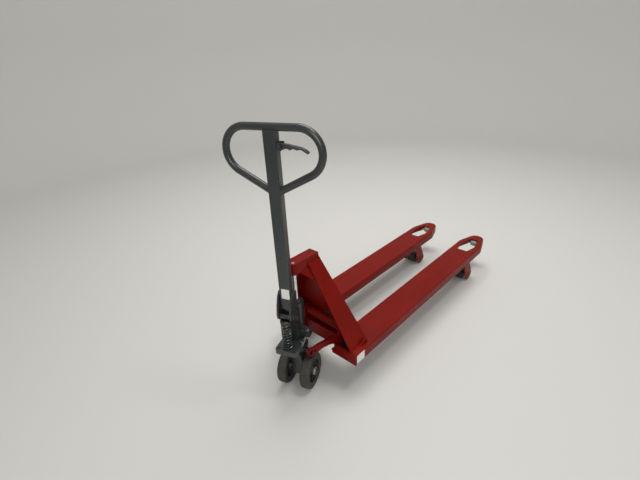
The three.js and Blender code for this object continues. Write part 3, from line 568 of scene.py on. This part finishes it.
def fork_mesh(side):
    bm = bmesh.new()
    rings = [[bm.verts.new((x - nx * o, y - ny * o, z)) for o, z in RIM] for x, y, nx, ny in fork_path()]
    count = len(RIM)
    for here, there in zip(rings, rings[1:]):
        for j in range(count):
            if j != RIM_JOINT:
                bm.faces.new((here[j], here[(j + 1) % count], there[(j + 1) % count], there[j]))
    bm.faces.new(rings[0])
    bm.faces.new(rings[-1])
    last = len(rings) - 1
    high, low = RIM_JOINT, RIM_JOINT + 1
    for i in range(last // 2):
        right, left = (rings[i], rings[i + 1]), (rings[last - i - 1], rings[last - i])
        for level in (high, low):
            corners = [right[0][level], right[1][level], left[0][level], left[1][level]]
            bm.faces.new(corners if right[1] is not left[0] else corners[:2] + corners[3:])
    bm.faces.new((rings[0][high], rings[0][low], rings[last][low], rings[last][high]))
    tidy(bm)
    half = [(32, 1188), (47, 1262), (38, 1335), (22, 1372)]
    nose_hole = rounded(half + [(-x, y) for x, y in reversed(half)], 9)
    opening = prism(nose_hole, CUT_LOW, CUT_HIGH)
    inner, foot, arm = -side * (FORK_HALF - 5), side * 37.5, -side * ARM_WINDOW
    heel = prism([(inner, 5), (foot, 5), (foot, 112), (inner, 112)], CUT_LOW, CUT_HIGH)
    beyond = -side * (FORK_HALF + 1)
    window = prism([(beyond, -1), (arm, -1), (arm, 55), (beyond, 55)], 162, 208)
    shell = cut_out(bm, opening, heel, window)
    front = [(arm, 0.2), (side * 70.5, 0.2), (side * 70.5, 5), (arm, 5)]
    wall = plate([front[::side]], 156.4, 201.4, 0.4, 1)
    lip = tube([(x, y, 203.5) for x, y in nose_hole], 2.9, True, 2)
    return merged(shell, wall, lip)


for side_name, side in SIDES:
    place = MODEL @ at(side * FORK_X, 0, 0)
    piece(f"fork_shell_{side_name}", fork_mesh(side), "frame", "red_paint", f"fork_{side_name}", 0.8, place)
    # Near-black plate across the bottom of each heel opening: painted shade, so the opening reads dark
    # instead of showing the pale floor.
    floor = plate([[(-70.5, 5.2), (70, 5.2), (70, 150), (-70.5, 150)]], 156.2, 159.4, 0.4, 1)
    piece(f"heel_painted_shade_{side_name}", floor, "frame", "hub", place=place)


# ---------- welds, label and screw on the frame ----------
LEG_X, LEG_TOP_Z, LEG_Y, LEG_TOP_Y, LEG_FRONT_Y = 218.5, 623, 119, 26, -44
BOX_HALF, BOX_TOP = 25, 642


def leg_x(z):
    """Outer face of the A-frame's leg at height z."""
    return LEG_X + (z - FORK_TOP) / (LEG_TOP_Z - FORK_TOP) * (BOX_HALF + 0.3 - LEG_X)


def leg_y(z):
    """Edge of the A-frame's leg towards the fork tips at height z."""
    return LEG_Y + (z - FORK_TOP) / (LEG_TOP_Z - FORK_TOP) * (LEG_TOP_Y - LEG_Y)


for side_name, side in SIDES:
    foot = FORK_TOP + 0.4
    outer, inner = side * (leg_x(foot) + 0.4), side * (leg_x(foot) - 7.4)
    bar, flank = side * 100.2, side * (BOX_HALF + 0.8)
    corner_z = (216, 320, 430, 540, 574)
    top_y = (LEG_FRONT_Y + 2, LEG_TOP_Y - 2)
    beads = [bead([(outer, 3, foot), (outer, 116, foot)], 2.4),
             bead([(inner, 6, foot - 0.6), (inner, 108, foot - 0.6)], 2.2),
             bead([(side * (leg_x(z) - 7.6), leg_y(z) - 5.4, z) for z in corner_z], 2.4),
             bead([(side * (BOX_HALF + 0.7), y, LEG_TOP_Z + 0.5) for y in top_y], 2.3),
             bead([(side * (BOX_HALF + 0.9), LEG_FRONT_Y - 0.4, z) for z in (603, 621)], 2.0),
             bead([(flank, -86, 589.5), (flank, -49, 600.5)], 1.8),
             bead([(bar, 40.6, 170), (bar, 40.6, 223)], 2.0)]
    piece(f"frame_welds_{side_name}", merged(*beads), "frame", "red_paint")

screw = lathe([(0, 0), (6.6, 0), (6.6, 1.8), (5.4, 3.2), (3.2, 3.4), (3.0, 2.0), (0, 2.0)], 36)
piece("nose_screw", screw, "frame", "chrome", place=MODEL @ at(9, -112, BOX_TOP - 1.2))
FORK_SIDE_X = FORK_X + FORK_HALF
LABEL = rounded([(2.5, 158.5), (57, 158.5), (57, 203), (2.5, 203)], 2.5)
piece("heel_label", plate([LABEL], 0, 0.5, 0.2, 1), "frame", "label",
      place=MODEL @ at(FORK_SIDE_X - 0.2, 0, 0) @ ALONG_X)
seam = [(-22.5, y, BOX_TOP - 0.2) for y in (-104, -40, 22)]
piece("box_seam", bead(seam, 3.2, 7.0), "frame", "red_paint")

# ---------- return spring, plunger cap ----------
SPRING_LOW, SPRING_HIGH, COIL_R, WIRE = 280.4, 413.6, 20.2, 3.2


def spring_mesh():
    turns, steps = 10, 30
    points = []
    for i in range(turns * steps + 1):
        t = i / (turns * steps)
        rise = min(1.0, max(0.0, (t - 0.07) / 0.86))
        angle = 2 * math.pi * turns * t
        height = SPRING_LOW + WIRE + (SPRING_HIGH - SPRING_LOW - 2 * WIRE) * rise
        points.append((COIL_R * math.cos(angle), COIL_R * math.sin(angle), height))
    return tube(points, WIRE)


spring = piece("return_spring", spring_mesh(), "pump", "spring_steel", "pump_spring",
               place=STEER @ at(0, PLUNGER_V, 0))
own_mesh(spring)
CAP = [(0, 414.2), (24, 414.2), (24, 419), (22.5, 422), (18.5, 424.4), (12, 425.5), (0, 425.6)]
cap = lathe(softened(CAP, 1.0, 2), 56)
rod = lathe([(0, 311.5), (8.9, 311.5), (8.9, 415), (0, 415)], 40)
piece("plunger_cap", merged(cap, rod), "plunger", "greased_steel", "pump_plunger",
      place=STEER @ at(0, PLUNGER_V, 0))

# ---------- steering wheels ----------
TREAD = [(62.3, -20), (66, -21.6), (72, -22.5), (77, -22.2), (81.5, -20), (84.2, -16.5), (85, -12),
         (85, 12), (84.2, 16.5), (81.5, 20), (77, 22.2), (72, 22.5), (66, 21.6), (62.3, 20)]
RIM_RING = [(55, -17), (57, -20), (62, -20.5), (62, 20.5), (57, 20), (55, 17)]
WEB = [(12, -18), (17, -20.5), (20, -20.5), (22, -17), (24, -6), (28, -4.5), (52, -4), (57, -7),
       (57, 7), (52, 4), (28, 4.5), (24, 6), (22, 17), (20, 20.5), (17, 20.5), (12, 18)]


def hub_mesh():
    web = lathe(softened(WEB, 1.2, 2), 80)
    holes = []
    for i in range(5):
        turn = Matrix.Rotation(2 * math.pi * i / 5, 4, "Z")
        window = prism(rounded([(29, -11), (50, -17), (51.5, 0), (50, 17), (29, 11), (27, 0)], 5, 4), -9, 9)
        holes.append(placed(window, turn))
    ribs = []
    for i in range(5):
        turn = Matrix.Rotation(2 * math.pi * (i + 0.5) / 5, 4, "Z")
        rib = plate([[(21, -2), (56, -2), (56, 2), (21, 2)]], -12, 12, 0.8, 1)
        ribs.append(placed(rib, turn))
    return merged(cut_out(web, *holes), lathe(softened(RIM_RING, 1.0, 2), 80), *ribs)


for side_name, side in SIDES:
    place = STEER @ at(side * WHEEL_U, WHEEL_V, WHEEL_R) @ ALONG_X
    piece(f"tyre_tread_{side_name}", lathe(softened(TREAD, 1.5, 2), 96), f"wheel_{side_name}", "tyre",
          f"steer_tyre_{side_name}", place=place)
    piece(f"spoked_hub_{side_name}", hub_mesh(), f"wheel_{side_name}", "hub",
          f"steer_hub_{side_name}", 0.5, place)
    nut = placed(bolt(9.5, 7, 1.2), at(0, 0, 24.5))
    if side < 0:
        nut.transform(Matrix.Rotation(math.pi, 4, "X"))
    piece(f"axle_nut_{side_name}", nut, "pump", "greased_steel", place=place)

# ---------- load rollers under the tips ----------
ROLLER = [(8.4, -28), (29, -28), (31, -26.5), (33, -26), (37.5, -25.4), (39.6, -23), (40, -19),
          (40, 19), (39.6, 23), (37.5, 25.4), (33, 26), (31, 26.5), (29, 28), (8.4, 28)]


def yoke_mesh():
    def arc(radius, start, end, steps):
        turns = [math.radians(start + (end - start) * i / steps) for i in range(steps + 1)]
        return [(56 + radius * math.cos(a), -120 + radius * math.sin(a)) for a in turns]

    cheek = [(-13, -6), (-11, -40), (2, -84), (13, -108)] + arc(40, 180, 184, 1) + arc(37, 204, 296, 12)
    cheek += arc(44.5, -30, 6, 8) + arc(39.5, 16, 32, 3)
    cheek += [(85, -84), (77, -69), (66, -50), (53, -28), (40, -6)]
    cheek += [(27, 23), (22, 31), (16, 34), (10, 33), (2, 22), (-4, 14), (-12, 6)]
    sides = []
    for h in (-58, 52):
        sides.append(plate([cheek, circle(0, 0, 8.4), circle(56, -120, 8.4)], h, h + 6, 1.0, 2))
        boss = lathe(softened([(8.4, 0), (18, 0), (18, 7), (8.4, 7)], 1.2, 2), 40)
        sides.append(placed(boss, at(56, -120, h - (1 if h < 0 else 0))))
    guard = plate([arc(46, -30, -6, 8) + arc(42.5, -6, -30, 8)], -57, 57, 0.8, 1)
    pin = lathe(softened([(0, -59), (4.4, -59), (4.4, 59), (0, 59)], 0.6, 1), 24)
    return merged(*sides, guard, placed(pin, at(17, 27.1, 0)))


for side_name, side in SIDES:
    spot = at(side * FORK_X, ROLLER_Y, ROLLER_Z)
    piece(f"roller_tread_{side_name}", lathe(softened(ROLLER, 1.4, 2), 72), f"load_roller_{side_name}",
          "roller_tread", f"load_roller_{side_name}", place=MODEL @ spot @ ALONG_X)
    caps = [placed(placed(bolt(9, 5, 1.2), turn), ALONG_X @ at(0, 0, h))
            for h, turn in ((58, FLAT), (-58, Matrix.Rotation(math.pi, 4, "X")))]
    piece(f"roller_axle_caps_{side_name}", merged(*caps), f"roller_bracket_{side_name}", "greased_steel",
          place=MODEL @ spot)
    piece(f"roller_yoke_{side_name}", yoke_mesh(), f"roller_bracket_{side_name}", "red_paint",
          f"roller_bracket_{side_name}", place=MODEL @ at(side * FORK_X, BRACKET_Y, BRACKET_Z) @ ALONG_X)

# ---------- drawbar ----------
STEM_HALF_U, STEM_HALF_V, STEM_LOW, STEM_HIGH = 24, 18, 468, 1194.6
LOOP_TOP, LOOP_ARC, LOOP_U, LOOP_JOIN_Z, LOOP_TUBE = 1202.7, 85, 100.8, 975.4, 14


def stem_mesh():
    u, v = STEM_HALF_U, STEM_HALF_V
    outer = rounded([(-u, -v), (u, -v), (u, v), (-u, v)], 6, 6)
    inner = rounded([(3 - u, 3 - v), (u - 3, 3 - v), (u - 3, v - 3), (3 - u, v - 3)], 3.5, 4)
    walls = plate([outer, inner], STEM_LOW, STEM_HIGH - 3.2, 0.3, 1)
    lid = plate([outer], STEM_HIGH - 3.4, STEM_HIGH, 1.0, 2)
    return merged(walls, lid)


def loop_points():
    low = -math.pi / 2 + math.radians(29.1)
    arc = [low + (math.pi / 2 - low) * i / 30 for i in range(31)]
    middle = LOOP_TOP - LOOP_ARC
    right = [(STEM_HALF_U - 1, STEM_V, LOOP_JOIN_Z + 4)]
    right += [(LOOP_U + LOOP_ARC * math.cos(a), STEM_V, middle + LOOP_ARC * math.sin(a)) for a in arc]
    return right + [(-x, y, z) for x, y, z in reversed(right)]


piece("stem_tube", stem_mesh(), "handle", "grey_paint", "drawbar_stem", place=STEER @ at(0, STEM_V, 0))
piece("loop_tube", tube(loop_points(), LOOP_TUBE, sides=7), "handle", "grey_paint", "handle_loop",
      place=STEER)
joint = []
for side in (-1, 1):
    ring = [(side * (STEM_HALF_U + 0.6), STEM_V + 13.6 * math.cos(a), LOOP_JOIN_Z + 6 + 16.5 * math.sin(a))
            for a in [math.radians(d) for d in range(0, 361, 15)]]
    joint.append(bead(ring, 2.2))
for side in (-1, 1):
    joint.append(bead([(-22, STEM_V + side * 13, 1195), (22, STEM_V + side * 13, 1195)], 1.6))
piece("loop_welds", merged(*joint), "handle", "grey_paint", place=STEER)

web = plate([[(-25.5, 440), (25.5, 440), (25.5, 477), (-25.5, 477)]], -2, 2, 0.8, 1)
piece("bracket_web", web, "handle", "grey_paint", place=STEER @ at(0, -56.5, 0) @ ALONG_Y)
STICKER = rounded([(-13, 520), (22.5, 520), (22.5, 567), (-13, 567)], 2.5)
piece("stem_label", plate([STICKER], 0, 0.5, 0.2, 1), "handle", "label",
      place=STEER @ at(0, STEM_V - STEM_HALF_V, 0) @ ALONG_Y)
# Thin near-black patch flush on the stem's side in the slot's outline: painted shade standing for the dark
# slot the lever comes out of.
SLOT = [(STEM_V - 9, 1110), (STEM_V + 9, 1110), (STEM_V + 9, 1184), (STEM_V - 9, 1184)]
slot_shade_patch = plate([rounded(SLOT, 4)], STEM_HALF_U - 0.5, STEM_HALF_U + 0.25, 0.2, 1)
piece("lever_slot_painted_shade", slot_shade_patch, "handle", "hub", place=STEER @ ALONG_X)


def lever_mesh():
    """Finger lever with four grip waves on its underside."""
    def bow(a, middle, b, steps=8):
        a, middle, b = Vector(a), Vector(middle), Vector(b)
        turns = [i / steps for i in range(steps)]
        return [tuple(a * (1 - t) ** 2 + middle * 2 * t * (1 - t) + b * t * t) for t in turns]

    outline = [(31.5, 1134.5), (38, 1130.5)]
    outline += bow((44, 1127.4), (57, 1137), (70, 1127.4)) + bow((70, 1127.4), (83, 1137), (96, 1128))
    outline += bow((96, 1128), (108, 1135), (119, 1126)) + bow((119, 1126), (128, 1121.4), (133.5, 1118))
    outline += bow((133.5, 1118), (140, 1119), (137.6, 1123.5))
    outline += bow((137.6, 1123.5), (128, 1133.6), (107, 1139.3))
    outline += bow((107, 1139.3), (92, 1142.2), (78, 1144.2)) + bow((78, 1144.2), (56, 1149.4), (38, 1149.2))
    outline += [(34, 1148), (31.5, 1144)]
    return plate([list(reversed(outline))], -8.8, 8.8, 3.6, 4)


piece("squeeze_lever", lever_mesh(), "trigger", "lever", "trigger_lever",
      place=STEER @ at(0, STEM_V, 0) @ ALONG_Y)
for side in (-1, 1):
    label = "front" if side < 0 else "rear"
    head = lathe(softened([(0, 0), (5.2, 0), (5.2, 1.8), (3.2, 3), (0, 3)], 0.5, 2), 28)
    turn = Matrix.Rotation(math.radians(90 * -side), 4, "X")
    piece(f"lever_pin_head_{label}", head, "handle", "grey_paint",
          place=STEER @ at(LEVER_U, STEM_V + side * 15.2, LEVER_Z) @ turn)

# ---------- pump deck ----------
BOLT_SPOTS = ((-39, -126), (39, -126), (-37, -60), (24, 26), (-24, 26))
bolts = [placed(bolt(6.5, 5.5), at(u, v, DECK_Z)) for u, v in BOLT_SPOTS]
piece("deck_bolts", merged(*bolts), "pump", "grey_paint", place=STEER)
cover = lathe(softened([(0, 0), (12, 0), (12, 3), (8, 5.5), (0, 5.5)], 1.2, 2), 40)
piece("filler_cap", placed(cover, at(40, -60, DECK_Z)), "pump", "grey_paint", place=STEER)
valve = placed(bolt(7, 7, 1.4), at(53, -19, 314.2))
piece("valve_nut", valve, "pump", "steel", "valve_screw", place=STEER)
collars = []
for h in (283, 438):
    collars.append(lathe(softened([(31.5, h), (33.2, h), (33.2, h + 5), (31.5, h + 5)], 0.8, 2), 64))
piece("tank_bands", merged(*collars), "pump", "grey_paint", place=STEER)

BRACKET_FACE = 33.6
NUTS = (("pivot_nut", (9.5, 6.5, 1.2), PIVOT_V, PIVOT_Z),
        ("presser_nut", (7.5, 5, 1.0), PRESSER_V, PRESSER_Z))
for side_name, side in SIDES:
    for kind, size, v, z in NUTS:
        nut = placed(bolt(*size), at(0, 0, BRACKET_FACE))
        if side < 0:
            nut.transform(Matrix.Rotation(math.pi, 4, "Y"))
        piece(f"{kind}_{side_name}", nut, "handle", "grey_paint", place=STEER @ at(0, v, z) @ ALONG_X)


# ---------- stage, light and camera: metres ----------
FLAT_R, BEND_START, BEND_R, WALL_TOP = 2.0, 4.4, 1.6, 5.2
# name: (place, target, diameter, watts, colour)
LAMPS = {
    "key": ((-0.5, 0.6, 4.3), (0, 0, 0.2), 2.4, 70.0, (1.0, 0.97, 0.93)),
    "side": ((1.3, 0.2, 4.4), (0, 0, 0.4), 0.9, 34.0, (1.0, 0.98, 0.95)),
    "fill": ((1.9, -2.6, 2.2), (0, -0.3, 0.4), 1.8, 30.0, (0.97, 0.98, 1.0)),
    "wash": ((-0.6, 0.6, 4.2), (-4.2, 4.4, 1.6), 2.4, 46.0, (1.0, 0.99, 0.94)),
}
CAMERA_PLACE = (1074.895, -1045.153, 1454.646)          # millimetres, from the forks' heel
CAMERA_TURN = (63.175, 2.598, 42.799)                   # degrees about X, Y and Z
CAMERA_LENS = 22.354                                    # millimetres, on a 36 mm wide sensor


def stage():
    """A round pale floor that curves up into a wall all round."""
    turns = [math.radians(a) for a in range(0, 91, 6)]
    bend = [(BEND_START + BEND_R * math.sin(a), BEND_R - BEND_R * math.cos(a)) for a in turns]
    profile = [(0.0, 0.0), (FLAT_R, 0.0)] + bend + [(BEND_START + BEND_R, WALL_TOP)]
    bm = bmesh.new()
    segments = 96
    turns = [2 * math.pi * i / segments for i in range(segments)]
    rings = [[bm.verts.new((r * math.cos(a), r * math.sin(a), z)) for a in turns] for r, z in profile]
    for low, high in zip(rings, rings[1:]):
        for i in range(segments):
            k = (i + 1) % segments
            bm.faces.new((low[i], low[k], high[k], high[i]))
    tidy(bm)
    mesh = bpy.data.meshes.new("studio_floor")
    bm.to_mesh(mesh)
    bm.free()
    mesh.shade_smooth()
    floor = bpy.data.objects.new("studio_floor", mesh)
    bpy.context.scene.collection.objects.link(floor)
    n = Nodes("studio")
    mesh.materials.append(n.finish(rgb(0.66, 0.655, 0.63), 0.75, 0.0))


def lamp(name, place, target, size, power, tint):
    light = bpy.data.lights.new(name, "AREA")
    light.shape = "DISK"
    light.size = size
    light.energy = power
    light.color = tint
    obj = bpy.data.objects.new(name, light)
    bpy.context.scene.collection.objects.link(obj)
    obj.location = place
    obj.rotation_euler = (Vector(target) - Vector(place)).to_track_quat("-Z", "Y").to_euler()


def camera():
    data = bpy.data.cameras.new("camera")
    data.sensor_width = 36.0
    data.sensor_fit = "HORIZONTAL"
    data.lens = CAMERA_LENS
    data.clip_start = 0.05
    obj = bpy.data.objects.new("camera", data)
    bpy.context.scene.collection.objects.link(obj)
    obj.location = MODEL @ Vector(CAMERA_PLACE)
    obj.rotation_euler = [math.radians(a) for a in CAMERA_TURN]
    bpy.context.scene.camera = obj


def light_up():
    world = bpy.data.worlds.new("world")
    world.use_nodes = True
    background = world.node_tree.nodes["Background"]
    background.inputs["Color"].default_value = rgb(0.95, 0.96, 0.97)
    background.inputs["Strength"].default_value = 0.45
    bpy.context.scene.world = world
    for name, settings in LAMPS.items():
        lamp(name, *settings)
    bpy.context.scene.view_settings.view_transform = "Standard"


stage()
camera()
light_up()
